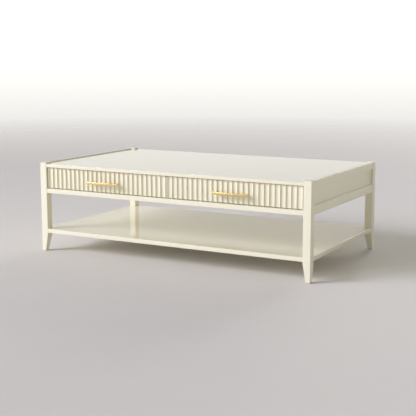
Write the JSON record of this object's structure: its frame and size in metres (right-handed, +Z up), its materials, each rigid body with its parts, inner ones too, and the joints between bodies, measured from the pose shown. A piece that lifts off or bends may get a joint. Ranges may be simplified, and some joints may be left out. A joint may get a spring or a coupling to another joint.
{
  "type": "coffee table with drawers",
  "caption": "Low rectangular lacquered coffee table with square tapered legs, fluted drawer fronts with brass bar pulls, and an open lower shelf.",
  "frame": {"origin": "on the floor, in the middle of the outline with the pulls counted in", "axes": "+X to the right as seen from the drawers, drawers face -Y, +Z up"},
  "size_m": [1.3, 0.7696, 0.4],
  "materials": {
    "cream_lacquer": "satin cream lacquer on fibreboard",
    "gloss_lacquer": "polished cream lacquer on fibreboard",
    "brass": "satin brushed gold",
    "zinc_steel": "zinc plated",
    "drawer_board": "pale foil-faced board",
    "beech": "raw beech",
    "glide_plastic": "pale moulded nylon"
  },
  "bodies": {
    "table_frame": {"leg_front_left": "cream_lacquer", "leg_front_right": "cream_lacquer", "leg_rear_left": "cream_lacquer", "leg_rear_right": "cream_lacquer", "foot_glides": "glide_plastic", "top_board": "gloss_lacquer", "carcase_bottom": "cream_lacquer", "lower_shelf": "gloss_lacquer", "back_panel": "cream_lacquer", "centre_divider": "cream_lacquer", "left_top_rail": "cream_lacquer", "left_bottom_rail": "cream_lacquer", "left_side_panel": "cream_lacquer", "left_carcase_side": "cream_lacquer", "right_top_rail": "cream_lacquer", "right_bottom_rail": "cream_lacquer", "right_side_panel": "cream_lacquer", "right_carcase_side": "cream_lacquer", "frame_dowels": "beech", "top_brackets": "zinc_steel", "top_bracket_screws": "zinc_steel", "wall_slide_screws": "zinc_steel", "left_drawer_left_outer_slide": "zinc_steel", "left_drawer_right_outer_slide": "zinc_steel", "right_drawer_left_outer_slide": "zinc_steel", "right_drawer_right_outer_slide": "zinc_steel"},
    "left_drawer": {"left_drawer_front": "cream_lacquer", "left_drawer_box_front": "drawer_board", "left_drawer_left_side": "drawer_board", "left_drawer_right_side": "drawer_board", "left_drawer_back": "drawer_board", "left_drawer_bottom": "drawer_board", "left_drawer_pull": "brass", "left_drawer_pull_screws": "zinc_steel", "left_drawer_front_screws": "zinc_steel", "left_drawer_slide_screws": "zinc_steel", "left_drawer_left_inner_slide": "zinc_steel", "left_drawer_right_inner_slide": "zinc_steel"},
    "left_drawer_middle_slides": {"left_drawer_left_middle_slide": "zinc_steel", "left_drawer_right_middle_slide": "zinc_steel"},
    "right_drawer": {"right_drawer_front": "cream_lacquer", "right_drawer_box_front": "drawer_board", "right_drawer_left_side": "drawer_board", "right_drawer_right_side": "drawer_board", "right_drawer_back": "drawer_board", "right_drawer_bottom": "drawer_board", "right_drawer_pull": "brass", "right_drawer_pull_screws": "zinc_steel", "right_drawer_front_screws": "zinc_steel", "right_drawer_slide_screws": "zinc_steel", "right_drawer_left_inner_slide": "zinc_steel", "right_drawer_right_inner_slide": "zinc_steel"},
    "right_drawer_middle_slides": {"right_drawer_left_middle_slide": "zinc_steel", "right_drawer_right_middle_slide": "zinc_steel"}
  },
  "joints": [
    {"name": "left_drawer_slide", "type": "slide", "parent": "table_frame", "child": "left_drawer", "axis": [0, -1, 0], "range_m": [0, 0.5]},
    {"name": "left_middle_slide", "type": "slide", "parent": "table_frame", "child": "left_drawer_middle_slides", "axis": [0, -1, 0], "range_m": [0, 0.25]},
    {"name": "right_drawer_slide", "type": "slide", "parent": "table_frame", "child": "right_drawer", "axis": [0, -1, 0], "range_m": [0, 0.5]},
    {"name": "right_middle_slide", "type": "slide", "parent": "table_frame", "child": "right_drawer_middle_slides", "axis": [0, -1, 0], "range_m": [0, 0.25]}
  ],
  "couplings": [
    {"joint": "left_middle_slide", "follows": "left_drawer_slide", "ratio": 0.5},
    {"joint": "right_middle_slide", "follows": "right_drawer_slide", "ratio": 0.5}
  ]
}
